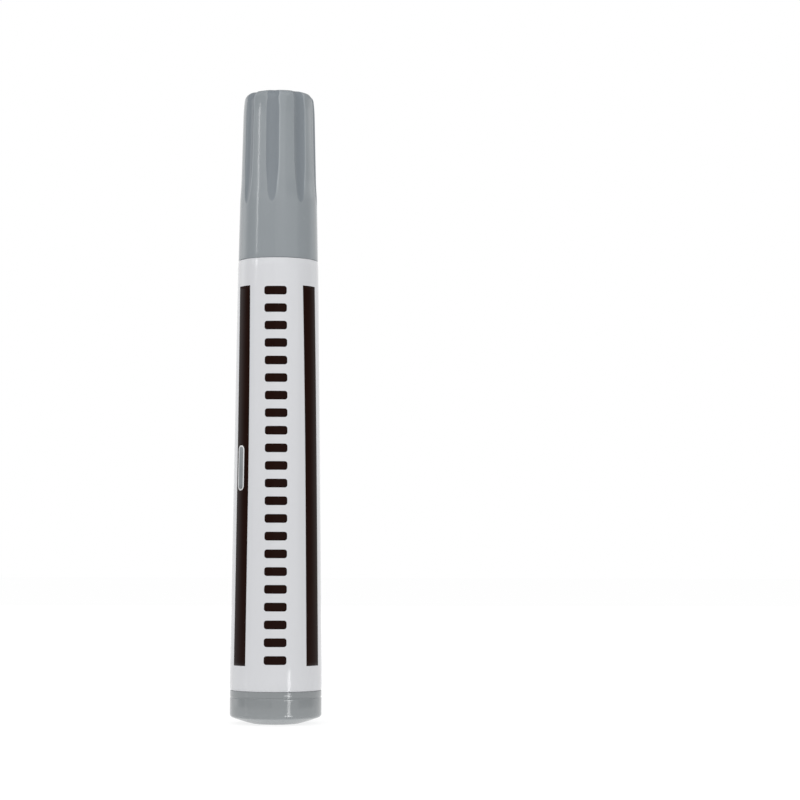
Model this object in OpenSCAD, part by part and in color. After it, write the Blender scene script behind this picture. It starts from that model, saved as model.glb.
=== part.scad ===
// Felt-tip touch-up marker with a fluted snap-on cap, standing upright on its end plug.
// Millimetres, +Z towards the cap. The origin is the centre of the flat land under the end plug.

/* [Barrel] */
// Length of the tapered barrel between the end plug and the cap
barrel_len = 82; // [72:1:92]
// Diameter of the barrel where it meets the end plug
barrel_base_d = 17.4; // [17.2:0.1:18.4]
// Diameter of the barrel where it meets the cap
barrel_top_d = 15.26; // [15.1:0.02:15.8]
// Thickness of the moulded barrel wall
barrel_wall = 1.2; // [1:0.1:1.4]
// Number of ribs inside the barrel that hold the reservoir
rib_count = 6; // [4:1:8]
// Thickness of each inside rib
rib_t = 1; // [0.8:0.1:1.4]

/* [Neck] */
// Length of the neck that goes into the cap
neck_len = 8.7; // [7.5:0.1:10]
// Width of the shoulder that the cap's rim rests on
shoulder_w = 1.33; // [1.2:0.01:1.6]
// Thickness of the neck wall
neck_wall = 1.2; // [1:0.1:1.4]
// Height of the snap bead above the neck
bead_out = 0.16; // [0.1:0.02:0.2]

/* [Label] */
// Thickness of the printed film
label_t = 0.07; // [0.05:0.01:0.12]
// Bare barrel left at each end of the film
label_inset = 0.35; // [0.2:0.05:2]
// Width of the seam between the ends of the film, at the back
label_seam = 0.3; // [0.1:0.05:1]

/* [End plug] */
// Height of the visible part of the plug
plug_h = 6.3; // [5.5:0.1:8]
// Diameter of the flat land that the marker stands on
plug_land_d = 8.8; // [7.6:0.2:10.4]
// Slope of the shallow curved bevel where it leaves the land, in degrees
plug_bevel_slope = 13; // [10:1:15]
// Length of the spigot inside the barrel
plug_spigot_len = 5.7; // [4.5:0.1:8]
// Thickness of the plug's floor
plug_floor = 2; // [1.6:0.1:2.4]
// Thickness of the plug's spigot wall
plug_wall = 1.1; // [0.9:0.1:1.2]

/* [Cap] */
// Distance that the cap's hip, where the skirt's taper ends, stands in from the line of its mouth
cap_hip_in = 0.25; // [0.15:0.01:0.3]
// Height of the hip above the cap's mouth
cap_hip_h = 12; // [11:0.1:13]
// Distance that the waist above the hip stands in from the hip
cap_waist_in = 0.2; // [0.1:0.01:0.25]
// Height of the waist above the hip
cap_waist_h = 3; // [2.4:0.1:4]
// Distance that the ridges under the crown stand in from the line of the waist
cap_crown_in = 0.31; // [0.2:0.01:0.35]
// Thickness of the cap's roof at the middle of the dome
cap_roof = 2; // [1.6:0.1:2.6]
// Radius of the rounded edge of the crown
crown_round = 1.5; // [1:0.1:1.8]
// Rise of the dome above the rounded edge
crown_rise = 0.22; // [0.14:0.02:0.4]

/* [Flutes] */
// Number of flutes round the cap
flute_count = 8; // [6:1:10]
// Radius of the round section of a flute
flute_r = 2.6; // [2:0.1:3.2]
// Depth of a flute
flute_depth = 0.45; // [0.3:0.05:0.5]
// Height of the pointed tips of the flutes above the cap's mouth
flute_tip_h = 10.7; // [8:0.1:12]
// Length over which a flute runs out to its tip
flute_run = 9; // [6:0.5:11]
// Radius of the bend in a flute's floor that carries it over the edge of the crown
flute_over_r = 2; // [1.8:0.1:2.2]

/* [Nib and holder] */
// Diameter of the felt nib
nib_d = 4.6; // [4.2:0.1:5]
// Length of nib that shows past the nozzle
nib_show = 5.6; // [4.6:0.1:6.6]
// Depth to which the nib's tail dips into the reservoir
nib_dip = 5.5; // [4:0.5:8]
// Width of the flange's ledge round the collar that the cap's liner seals on
ledge_w = 1.25; // [1.1:0.05:1.5]
// Length of that collar
collar_len = 4.8; // [4:0.1:6]
// Length of the tapered nozzle
nozzle_len = 6; // [4.5:0.1:7]
// Thickness of the nozzle's wall at its tip
nozzle_wall = 0.98; // [0.8:0.02:1.2]
// Thickness of the holder's flange
flange_h = 1.2; // [1:0.1:1.6]

/* [Cap liner] */
// Width of the step in the cap that the sealing cup's flange rests on
liner_step_w = 0.67; // [0.6:0.01:0.8]
// Thickness of its side wall
liner_wall = 0.78; // [0.6:0.02:0.8]
// Thickness of its closed end
liner_end = 1; // [0.8:0.1:1.4]
// Length of the lip that seals on the collar
lip_len = 2.4; // [1.6:0.1:3]
// Free room between the nib's tip and the closed end
tip_room = 3.4; // [2:0.1:3.8]

/* [Reservoir] */
// Height of the inside ribs above the barrel's inner wall, at their top ends
rib_proud = 0.5; // [0.4:0.05:0.9]
// Distance from the barrel's shoulder down to the top of the core
core_drop = 3.8; // [3:0.1:6]
// Thickness of the film round the core
core_film_t = 0.05; // [0.03:0.01:0.08]

/* [Hidden] */
// Clearances: pressed joints, the cap on the neck, the liner's lip on the collar, and wrapped films
press_gap = 0.02;
cap_gap = 0.04;
lip_gap = 0.03;
film_gap = 0.01;
core_gap = 0.04;
// How far the cutting shapes run past what they cut
cut_over = 1;
// Turn of the first flute and of the ribs, in degrees from +X
flute_turn = -10;
rib_turn = 30;
// Steps in a small rounded edge, in the plug's bevel, in the crown's edge, in the dome and in the nib's nose
edge_steps = 3;
bevel_steps = 5;
crown_steps = 8;
dome_steps = 5;
nose_steps = 12;
$fn = 96;
runout_fn = 900;

// Levels along the marker, from the land up
barrel_base_z = plug_h;
barrel_top_z = barrel_base_z + barrel_len;
neck_top_z = barrel_top_z + neck_len;
flange_top_z = neck_top_z + flange_h;
collar_top_z = flange_top_z + collar_len;
nozzle_top_z = collar_top_z + nozzle_len;
nib_tip_z = nozzle_top_z + nib_show;

// Barrel
barrel_edge = 0.2;
shoulder_t = 2;
rib_start = 1.5;
end_bore_lead = 0.3;
end_bore_spare = 0.5;
barrel_base_r = barrel_base_d / 2;
barrel_top_r = barrel_top_d / 2;
end_bore_top_z = barrel_base_z + plug_spigot_len + end_bore_spare;
end_bore_r = barrel_r(end_bore_top_z) - barrel_wall;
cavity_top_z = barrel_top_z - shoulder_t;
cavity_top_r = barrel_r(cavity_top_z) - barrel_wall;
rib_bottom_z = end_bore_top_z + rib_start;

// Neck
neck_edge = 0.3;
guide_band_h = 1.6;
bead_half_w = 0.7;
bead_up_share = 0.62;
neck_r = barrel_top_r - shoulder_w;
neck_bore_r = neck_r - neck_wall;
bead_z = barrel_top_z + bead_up_share * neck_len;
bead_r = neck_r + bead_out;

// End plug
plug_edge = 0.25;
plug_out = 0.04;
plug_bevel_r = 30;
plug_bottom_round = 0.35;
plug_ring_h = 1;
plug_ring_in = 0.02;
plug_groove_h = 0.18;
plug_groove_in = 0.15;
plug_web_t = 1;
plug_snap_out = 0.12;
plug_snap_half_w = 0.5;
plug_top_lead = 0.4;
plug_r = barrel_base_r + plug_out;
plug_land_r = plug_land_d / 2;
plug_spigot_r = end_bore_r - press_gap;
plug_cup_r = plug_spigot_r - plug_wall;
plug_top_z = plug_h + plug_spigot_len;
plug_snap_z = plug_h + plug_spigot_len / 2;

// Reservoir: its film clears the ribs in the barrel and the plug's cup
core_chamfer = 0.3;
core_seat = 3;
core_cup_gap = 0.25;
rib_r = min(cavity_top_r - rib_proud, plug_cup_r - core_cup_gap);
core_film_r = rib_r - core_gap;
core_film_in_r = core_film_r - core_film_t;
core_r = core_film_in_r - film_gap;
core_bottom_z = plug_top_z - core_seat;
core_top_z = barrel_top_z - core_drop;

// Nib and holder
nib_tail_len = 3;
nib_tail_r = 0.5;
nib_nose_len = 4.4;
flange_in = 0.45;
flange_edge = 0.2;
nozzle_edge = 0.3;
holder_spigot_wall = 0.95;
holder_lead = 0.3;
guide_wall = 0.9;
guide_gap = 1.2;
web_count = 4;
web_t = 0.8;
vent_count = 3;
vent_r = 0.35;
nib_r = nib_d / 2;
nib_bore_r = nib_r + press_gap;
nib_bottom_z = core_top_z - nib_dip;
flange_r = neck_r - flange_in;
collar_r = flange_r - ledge_w;
nozzle_tip_r = nib_bore_r + nozzle_wall;
holder_spigot_r = neck_bore_r - press_gap;
guide_r = nib_bore_r + guide_wall;
guide_bottom_z = core_top_z + guide_gap;

// Cap and its liner
cap_out = 0.02;
cap_mouth_edge = 0.25;
cap_mouth_lead = 0.3;
cap_groove_in = 0.1;
crown_ease_h = 4.6;
crown_ease_r = 30;
liner_up_gap = 0.4;
liner_flange_h = 0.8;
liner_lead = 0.35;
liner_edge = 0.6;
lip_blend = 0.8;
cap_bore_r = bead_r + cap_gap;
liner_r = cap_bore_r - liner_step_w;
liner_in_r = liner_r - liner_wall;
liner_flange_r = cap_bore_r - cap_gap;
lip_r = collar_r + lip_gap;
liner_bottom_z = flange_top_z + liner_up_gap;
liner_step_z = liner_bottom_z + liner_flange_h;
lip_top_z = liner_bottom_z + lip_len;
liner_in_top_z = nib_tip_z + tip_room;
liner_top_z = liner_in_top_z + liner_end;
cap_liner_r = liner_r + press_gap;
cap_mouth_z = barrel_top_z;
cap_mouth_r = barrel_top_r + cap_out;
cap_hip_z = cap_mouth_z + cap_hip_h;
cap_hip_r = cap_mouth_r - cap_hip_in;
cap_waist_z = cap_hip_z + cap_waist_h;
cap_waist_r = cap_hip_r - cap_waist_in;
cap_top_z = liner_top_z + cap_roof;

// Crown of the cap: the side eases inwards, then the edge rounds over into a shallow dome
crown_centre_z = cap_top_z - crown_rise - crown_round;
crown_ease_z = cap_top_z - crown_ease_h;
crown_slope = cap_crown_in / (crown_ease_z - cap_waist_z);
crown_start_angle = atan(crown_slope + (crown_centre_z - crown_ease_z) / crown_ease_r);
crown_side_z = crown_centre_z + crown_round * sin(crown_start_angle);
crown_centre_r = crown_side_r(crown_side_z) - crown_round * cos(crown_start_angle);
crown_drop = cap_top_z - crown_centre_z;
dome_square = pow(crown_centre_r, 2) + pow(crown_drop, 2) - pow(crown_round, 2);
dome_r = dome_square / (2 * (crown_drop - crown_round));
dome_angle = atan2(dome_r - crown_drop, crown_centre_r);

// Flutes: a straight round groove down the crown's taper, then an arc that carries it out of the surface
flute_tip_z = cap_mouth_z + flute_tip_h;
flute_turn_z = flute_tip_z + flute_run;
flute_tilt = atan(crown_slope);
flute_floor_r = crown_side_r(flute_turn_z) - flute_depth;
flute_rise = cap_side_r(flute_tip_z) - flute_floor_r - crown_slope * flute_run;
runout_r = (pow(flute_run, 2) + pow(flute_rise, 2)) / (2 * flute_rise);
runout_sweep = 1.6 * asin(flute_run / runout_r);
runout_major_r = runout_r - flute_r;
// The bend over the crown's edge starts below the top by its own radius and a little more
flute_over_in = 0.12;
flute_over_sweep = 80;
flute_over_z = cap_top_z - flute_over_in - flute_over_r * (1 - sin(flute_tilt));
flute_straight = (flute_over_z - flute_turn_z) / cos(flute_tilt);
over_major_r = flute_over_r + flute_r;

// Radius of the bare barrel at height z
function barrel_r(z) =
    barrel_base_r + (barrel_top_r - barrel_base_r) * (z - barrel_base_z) / barrel_len;

// Radius of the upper cap's ridges at height z, with the ease under the crown
function crown_side_r(z) =
    cap_waist_r - crown_slope * (z - cap_waist_z) - pow(max(0, z - crown_ease_z), 2) / (2 * crown_ease_r);

// Radius of the cap's skirt at height z, from the mouth to the hip
function cap_side_r(z) =
    cap_mouth_r - cap_hip_in * (z - cap_mouth_z) / cap_hip_h;

// Points along an arc, from angle a to angle b
function arc(x, z, r, a, b, steps = edge_steps) =
    [for (i = [0 : steps]) let (t = a + (b - a) * i / steps) [x + r * cos(t), z + r * sin(t)]];

// Points of a low round bump that stands out from a wall of radius r
function bump(r, out, half_w, z) =
    let (bend = (pow(half_w, 2) + pow(out, 2)) / (2 * out), reach = asin(half_w / bend))
    arc(r + out - bend, z, bend, -reach, reach);

// Outline of the cap's outside, from the mouth to the top of the dome
function cap_outline() = concat(
    arc(cap_mouth_r - cap_mouth_edge, cap_mouth_z + cap_mouth_edge, cap_mouth_edge, -90, 0),
    [[cap_hip_r, cap_hip_z], [cap_waist_r, cap_waist_z]],
    [for (i = [0 : dome_steps])
        let (z = crown_ease_z + (crown_side_z - crown_ease_z) * i / dome_steps) [crown_side_r(z), z]],
    arc(crown_centre_r, crown_centre_z, crown_round, crown_start_angle, dome_angle, crown_steps),
    [for (i = [1 : dome_steps])
        let (t = dome_angle + (90 - dome_angle) * i / dome_steps)
        [dome_r * cos(t), cap_top_z - dome_r + dome_r * sin(t)]]
);

// One flute's cutter, along +X: the straight groove, its run-out, and its bend over the crown's edge
module flute_cutter() {
    translate([flute_floor_r, 0, flute_turn_z])
        rotate([0, -flute_tilt, 0]) {
            translate([flute_r, 0, 0])
                cylinder(r = flute_r, h = flute_straight);
            translate([runout_r, 0, 0])
                rotate([90, 0, 0])
                    rotate([0, 0, 180])
                        rotate_extrude(angle = runout_sweep, $fn = runout_fn)
                            translate([runout_major_r, 0])
                                circle(r = flute_r);
            translate([-flute_over_r, 0, flute_straight])
                rotate([90, 0, 0])
                    rotate_extrude(angle = flute_over_sweep)
                        translate([over_major_r, 0])
                            circle(r = flute_r);
        }
}

// Outer cap: fluted outside, a bore with a snap groove for the neck, and a smaller bore for the liner
module cap_shell() {
    color("#9ba2a7")
    difference() {
        rotate_extrude()
            polygon(concat([[0, cap_mouth_z]], cap_outline()));
        for (i = [0 : flute_count - 1])
            rotate([0, 0, flute_turn + i * 360 / flute_count])
                flute_cutter();
        rotate_extrude()
            polygon(concat(
                [
                    [0, cap_mouth_z - cut_over],
                    [cap_bore_r + cap_mouth_lead, cap_mouth_z - cut_over],
                    [cap_bore_r + cap_mouth_lead, cap_mouth_z],
                    [cap_bore_r, cap_mouth_z + cap_mouth_lead]
                ],
                bump(cap_bore_r, cap_groove_in, bead_half_w, bead_z),
                [
                    [cap_bore_r, liner_step_z],
                    [cap_liner_r, liner_step_z],
                    [cap_liner_r, liner_top_z - liner_edge],
                    [cap_liner_r - liner_edge, liner_top_z],
                    [0, liner_top_z]
                ]
            ));
    }
}

// Sealing cup in the cap: a flange at its mouth, a lip that closes on the collar, and a closed end
module cap_liner() {
    color("#e4e6e4")
    rotate_extrude()
        polygon([
            [lip_r + liner_lead, liner_bottom_z],
            [liner_flange_r, liner_bottom_z],
            [liner_flange_r, liner_step_z],
            [liner_r, liner_step_z],
            [liner_r, liner_top_z - liner_edge],
            [liner_r - liner_edge, liner_top_z],
            [0, liner_top_z],
            [0, liner_in_top_z],
            [liner_in_r - liner_edge, liner_in_top_z],
            [liner_in_r, liner_in_top_z - liner_edge],
            [liner_in_r, lip_top_z + lip_blend],
            [lip_r, lip_top_z],
            [lip_r, liner_bottom_z + liner_lead]
        ]);
}

// Tapered barrel: shoulder, neck with guide band and snap bead, ribbed cavity and a bore for the plug
module barrel() {
    color("#dcdee1")
    difference() {
        rotate_extrude()
            polygon(concat(
                [
                    [0, barrel_base_z]
                ],
                arc(barrel_base_r - barrel_edge, barrel_base_z + barrel_edge, barrel_edge, -90, 0),
                arc(barrel_top_r - barrel_edge, barrel_top_z - barrel_edge, barrel_edge, 0, 90),
                [
                    [bead_r, barrel_top_z],
                    [bead_r, barrel_top_z + guide_band_h],
                    [neck_r, barrel_top_z + guide_band_h + bead_out]
                ],
                bump(neck_r, bead_out, bead_half_w, bead_z),
                [
                    [neck_r, neck_top_z - neck_edge],
                    [neck_r - neck_edge, neck_top_z],
                    [0, neck_top_z]
                ]
            ));
        difference() {
            rotate_extrude()
                polygon([
                    [0, end_bore_top_z],
                    [end_bore_r, end_bore_top_z],
                    [cavity_top_r, cavity_top_z],
                    [0, cavity_top_z]
                ]);
            for (i = [0 : rib_count - 1])
                rotate([0, 0, rib_turn + i * 360 / rib_count])
                    translate([rib_r, -rib_t / 2, rib_bottom_z])
                        cube([barrel_base_r, rib_t, cavity_top_z - rib_bottom_z + cut_over]);
        }
        rotate_extrude()
            polygon(concat(
                [
                    [0, barrel_base_z - cut_over],
                    [end_bore_r + end_bore_lead, barrel_base_z - cut_over],
                    [end_bore_r + end_bore_lead, barrel_base_z],
                    [end_bore_r, barrel_base_z + end_bore_lead]
                ],
                bump(end_bore_r, plug_snap_out, plug_snap_half_w, plug_snap_z),
                [
                    [end_bore_r, end_bore_top_z],
                    [0, end_bore_top_z]
                ]
            ));
        translate([0, 0, cavity_top_z])
            cylinder(r = neck_bore_r, h = neck_top_z - cavity_top_z + cut_over);
    }
}

// Printed film wrapped round the barrel, with its seam at the back
module label_film() {
    label_in = film_gap;
    label_out = film_gap + label_t;
    low_z = barrel_base_z + label_inset;
    high_z = barrel_top_z - label_inset;
    color("#e6e8eb")
    difference() {
        rotate_extrude()
            polygon([
                [barrel_r(low_z) + label_in, low_z],
                [barrel_r(low_z) + label_out, low_z],
                [barrel_r(high_z) + label_out, high_z],
                [barrel_r(high_z) + label_in, high_z]
            ]);
        translate([-label_seam / 2, 0, low_z - cut_over])
            cube([label_seam, barrel_base_r + cut_over, high_z - low_z + 2 * cut_over]);
    }
}

// Nib holder: a webbed spigot in the neck, a flange on its end, the sealing collar and the nozzle
module nib_holder() {
    color("#d3d6d8")
    difference() {
        union() {
            rotate_extrude()
                polygon([
                    [0, neck_top_z],
                    [flange_r, neck_top_z],
                    [flange_r, flange_top_z - flange_edge],
                    [flange_r - flange_edge, flange_top_z],
                    [collar_r, flange_top_z],
                    [collar_r, collar_top_z],
                    [nozzle_tip_r + nozzle_edge, nozzle_top_z - nozzle_edge],
                    [nozzle_tip_r, nozzle_top_z],
                    [0, nozzle_top_z]
                ]);
            rotate_extrude()
                polygon([
                    [holder_spigot_r - holder_spigot_wall, barrel_top_z],
                    [holder_spigot_r - holder_lead, barrel_top_z],
                    [holder_spigot_r, barrel_top_z + holder_lead],
                    [holder_spigot_r, neck_top_z],
                    [holder_spigot_r - holder_spigot_wall, neck_top_z]
                ]);
            translate([0, 0, guide_bottom_z])
                cylinder(r = guide_r, h = neck_top_z - guide_bottom_z);
            for (i = [0 : web_count - 1])
                rotate([0, 0, i * 360 / web_count])
                    translate([0, -web_t / 2, barrel_top_z])
                        cube([holder_spigot_r - holder_spigot_wall / 2, web_t, neck_len]);
        }
        translate([0, 0, guide_bottom_z - cut_over])
            cylinder(r = nib_bore_r, h = nozzle_top_z - guide_bottom_z + 2 * cut_over);
        for (i = [0 : vent_count - 1])
            rotate([0, 0, rib_turn + i * 360 / vent_count])
                translate([nib_bore_r, 0, guide_bottom_z - cut_over])
                    cylinder(r = vent_r, h = nozzle_top_z - guide_bottom_z + 2 * cut_over);
    }
}

// Felt nib: round nose, straight shank and a tapered tail
module nib() {
    color("#8d9194")
    rotate_extrude()
        polygon(concat(
            [
                [0, nib_bottom_z],
                [nib_tail_r, nib_bottom_z],
                [nib_r, nib_bottom_z + nib_tail_len]
            ],
            [for (i = [0 : nose_steps])
                let (t = 90 * i / nose_steps)
                [nib_r * cos(t), nib_tip_z - nib_nose_len + nib_nose_len * sin(t)]]
        ));
}

// Fibre core that holds the ink, with a blind hole for the nib's tail
module reservoir_core() {
    color("#a9adb0")
    difference() {
        rotate_extrude()
            polygon([
                [0, core_bottom_z],
                [core_r - core_chamfer, core_bottom_z],
                [core_r, core_bottom_z + core_chamfer],
                [core_r, core_top_z - core_chamfer],
                [core_r - core_chamfer, core_top_z],
                [0, core_top_z]
            ]);
        rotate_extrude()
            polygon([
                [0, nib_bottom_z],
                [nib_tail_r + press_gap, nib_bottom_z],
                [nib_bore_r, nib_bottom_z + nib_tail_len],
                [nib_bore_r, core_top_z + cut_over],
                [0, core_top_z + cut_over]
            ]);
    }
}

// Film tube round the core
module reservoir_film() {
    color("#eef0f1")
    translate([0, 0, core_bottom_z])
        difference() {
            cylinder(r = core_film_r, h = core_top_z - core_bottom_z);
            translate([0, 0, -cut_over])
                cylinder(r = core_film_in_r, h = core_top_z - core_bottom_z + 2 * cut_over);
        }
}

// End plug: bevelled land, outer band, fine groove, and a webbed cup with a snap bead
module end_plug() {
    bevel_x = plug_land_r - plug_bevel_r * sin(plug_bevel_slope);
    bevel_z = plug_bevel_r * cos(plug_bevel_slope);
    round_x = plug_r - plug_bottom_round;
    bevel_end = asin((round_x - bevel_x) / (plug_bevel_r - plug_bottom_round));
    round_z = bevel_z - (plug_bevel_r - plug_bottom_round) * cos(bevel_end);
    band_top_z = plug_h - plug_ring_h;
    band_edge_z = band_top_z - plug_groove_h;
    color("#8c9093")
    difference() {
        rotate_extrude()
            polygon(concat(
                [[0, 0]],
                arc(bevel_x, bevel_z, plug_bevel_r, plug_bevel_slope - 90, bevel_end - 90, bevel_steps),
                arc(round_x, round_z, plug_bottom_round, bevel_end - 90, 0),
                arc(plug_r - plug_edge, band_edge_z - plug_edge, plug_edge, 0, 90),
                [
                    [plug_r - plug_groove_in, band_edge_z],
                    [plug_r - plug_groove_in, band_top_z],
                    [plug_r - plug_ring_in, band_top_z],
                    [plug_r - plug_ring_in, plug_h],
                    [plug_spigot_r, plug_h]
                ],
                bump(plug_spigot_r, plug_snap_out, plug_snap_half_w, plug_snap_z),
                [
                    [plug_spigot_r, plug_top_z - plug_top_lead],
                    [plug_spigot_r - plug_top_lead, plug_top_z],
                    [0, plug_top_z]
                ]
            ));
        difference() {
            translate([0, 0, plug_floor])
                cylinder(r = plug_cup_r, h = plug_top_z - plug_floor + cut_over);
            for (turn = [0, 90])
                rotate([0, 0, turn])
                    translate([-plug_r, -plug_web_t / 2, 0])
                        cube([plug_r * 2, plug_web_t, core_bottom_z]);
        }
    }
}

cap_shell();
cap_liner();
barrel();
label_film();
nib_holder();
nib();
reservoir_core();
reservoir_film();
end_plug();
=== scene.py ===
import bpy
import numpy as np
from mathutils import Matrix, Vector


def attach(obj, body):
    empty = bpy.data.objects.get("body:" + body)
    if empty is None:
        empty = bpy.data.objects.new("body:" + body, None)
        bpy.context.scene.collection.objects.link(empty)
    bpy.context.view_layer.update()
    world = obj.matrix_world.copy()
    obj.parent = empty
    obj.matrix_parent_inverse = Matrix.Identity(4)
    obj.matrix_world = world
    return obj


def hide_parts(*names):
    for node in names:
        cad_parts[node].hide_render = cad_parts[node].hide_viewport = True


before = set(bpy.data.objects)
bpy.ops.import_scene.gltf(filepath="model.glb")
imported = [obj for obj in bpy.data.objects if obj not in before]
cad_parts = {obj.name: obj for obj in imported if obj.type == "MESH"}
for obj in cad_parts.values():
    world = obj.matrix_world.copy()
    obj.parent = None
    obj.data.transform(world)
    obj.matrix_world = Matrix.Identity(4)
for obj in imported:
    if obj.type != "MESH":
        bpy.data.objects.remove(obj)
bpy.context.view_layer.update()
mm = 0.001
print("frame loaded")

# The marker stands on the floor at the origin with +Z towards its cap. Angles go round from the side that
# faces the camera, -Y, and grow to the right. In the dictionaries all lengths are in millimetres, all angles
# in degrees, and the scales of patterns count per metre. In a size's name, R is a radius, Z a height above
# the floor and H a length along Z.

camera = {"place": (0.0, -460.2, 31.85), "lens": 107.95, "sensor": 36.0, "turn": 2.93, "tilt": 3.715,
          "roll": 0.142, "nearest": 10.0, "farthest": 20000.0}


def makeCamera():
    # the view looks along +Y, turned right and tilted up, then rolled a little about its own line
    turn, tilt, roll = np.radians([camera["turn"], camera["tilt"], camera["roll"]])
    ahead = np.array([np.sin(turn) * np.cos(tilt), np.cos(turn) * np.cos(tilt), np.sin(tilt)])
    side = np.array([np.cos(turn), -np.sin(turn), 0.0])
    up = np.cross(side, ahead)
    right = np.cos(roll) * side + np.sin(roll) * up
    top = np.cos(roll) * up - np.sin(roll) * side
    data = bpy.data.cameras.new("photoCamera")
    data.lens, data.sensor_width = camera["lens"], camera["sensor"]
    data.clip_start, data.clip_end = camera["nearest"] * mm, camera["farthest"] * mm
    eye = bpy.data.objects.new("photoCamera", data)
    bpy.context.collection.objects.link(eye)
    pose = np.eye(4)
    pose[:3] = np.stack([right, top, -ahead, np.array(camera["place"]) * mm], axis=1)
    eye.matrix_world = Matrix(pose.tolist())
    bpy.context.scene.camera = eye


makeCamera()
print("camera placed")


# Shader maths: a Wire is a socket's output that can be added, subtracted and multiplied
class Wire:
    def __init__(self, tree, socket):
        self.tree, self.socket = tree, socket

    def maths(self, operation, a, b):
        return self.tree.add("ShaderNodeMath", {"operation": operation}, {0: a, 1: b})

    def __add__(self, other):
        return self.maths("ADD", self, other)

    def __sub__(self, other):
        return self.maths("SUBTRACT", self, other)

    def __rsub__(self, other):
        return self.maths("SUBTRACT", other, self)

    def __mul__(self, other):
        return self.maths("MULTIPLY", self, other)

    __radd__, __rmul__ = __add__, __mul__

    def part(self, name):  # another output of the same node
        return Wire(self.tree, self.socket.node.outputs[name])


# A Tree makes the nodes of one material or world and links them
class Tree:
    def __init__(self, owner):
        owner.use_nodes = True
        self.nodes, self.links = owner.node_tree.nodes, owner.node_tree.links
        self.nodes.clear()

    def add(self, kind, settings=None, values=None, out=0):
        # one node: its settings first, then what each of its sockets holds or is linked to
        node = self.nodes.new(kind)
        for key, value in (settings or {}).items():
            setattr(node, key, value)
        for key, value in (values or {}).items():
            if isinstance(value, Wire):
                self.links.new(value.socket, node.inputs[key])
            else:
                node.inputs[key].default_value = value
        return Wire(self, node.outputs[out]) if node.outputs else None

    def blend(self, factor, a, b):  # a colour between a and b
        return self.add("ShaderNodeMix", {"data_type": "RGBA"}, {0: factor, 6: a, 7: b}, out=2)

    def noise(self, where, scale, detail=2.0, rough=0.5):
        return self.add("ShaderNodeTexNoise", None,
                        {"Vector": where, "Scale": scale, "Detail": detail, "Roughness": rough})

    def drawn(self, where, along):  # the same place with Z made smaller, so that a pattern there is drawn out
        return self.add("ShaderNodeVectorMath", {"operation": "MULTIPLY"}, {0: where, 1: (1.0, 1.0, along)})

    def ramp(self, value, ends, low, high, kind="SMOOTHSTEP"):
        # low before the first end, high past the second, and a smooth or straight way between them
        return self.add("ShaderNodeMapRange", {"interpolation_type": kind},
                        {0: value, 1: ends[0], 2: ends[1], 3: low, 4: high})

    def finish(self, colour, rough, height, strength, depth, fixed):
        # the shader with its fine bumps, and the output; fixed holds what is the same all over the piece
        bump = self.add("ShaderNodeBump", None,
                        {"Strength": strength, "Distance": depth * mm, "Height": height})
        shader = self.add("ShaderNodeBsdfPrincipled", None,
                          {"Base Color": colour, "Roughness": rough, "Normal": bump, **fixed})
        self.add("ShaderNodeOutputMaterial", None, {"Surface": shader})


def newMaterial(name):
    # a material, its empty tree, and the piece's own coordinates for its patterns
    material = bpy.data.materials.new(name)
    tree = Tree(material)
    return material, tree, tree.add("ShaderNodeTexCoord", out="Object")


def linear(red, green, blue):
    # a colour as a screen shows it, 0 to 255, turned into light
    c = np.array([red, green, blue]) / 255.0
    c = np.where(c <= 0.04045, c / 12.92, ((c + 0.055) / 1.055) ** 2.4)
    return (*[float(x) for x in c], 1.0)


def grey(level):
    return (level, level, level, 1.0)


def shade(colour, by):
    # a colour made lighter or darker
    return (*[min(1.0, c * by) for c in colour[:3]], 1.0)


plasticFinish = {"ior": 1.5, "spread": 0.02, "clouds": 0.6, "streaks": 0.4, "streakScale": 600.0,
                 "streakHeight": 0.5, "drawn": 0.03, "grainScale": 5000.0, "grainRough": 0.1, "depth": 0.02,
                 "scuffScale": 500.0, "scuff": 0.1, "scuffEnds": (0.6, 0.78), "scuffPale": 1.25,
                 "scuffRough": 0.2}
plasticLooks = {  # what each plastic has of its own, over the finish that they share
    # in capPlastic, flute is a darker colour painted into the flutes as shade, and the rim entries give a
    # painted highlight on their right rims
    "capPlastic": {"colour": (144, 150, 154), "rough": 0.13, "ior": 1.49, "cloudScale": 90.0,
                   "streakScale": 900.0, "grainScale": 5200.0, "grain": 0.18, "scuffScale": 700.0,
                   "scuff": 0.25, "flute": (126, 133, 139), "fluteRough": 0.2, "mattLeast": 0.9,
                   "mattSpread": 0.2, "rim": 0.9, "rimHighlightPale": 1.3},
    "plugPlastic": {"colour": (138, 142, 144), "rough": 0.1, "ior": 1.49, "cloudScale": 110.0,
                    "streakScale": 800.0, "grainScale": 5600.0, "grain": 0.12, "scuffScale": 600.0,
                    "scuff": 0.2},
    "barrelPlastic": {"colour": (217, 218, 221), "rough": 0.15, "spread": 0.012, "cloudScale": 60.0,
                      "streakScale": 700.0, "grainScale": 4800.0, "grain": 0.08},
    "linerPlastic": {"colour": (226, 228, 225), "rough": 0.42, "cloudScale": 120.0, "grain": 0.15},
    "holderPlastic": {"colour": (214, 217, 219), "rough": 0.36, "cloudScale": 140.0, "grain": 0.12},
    "filmPlastic": {"colour": (232, 234, 236), "rough": 0.3, "spread": 0.01, "cloudScale": 60.0,
                    "grainScale": 4000.0, "grain": 0.05, "scuff": 0.05},
}


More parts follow.
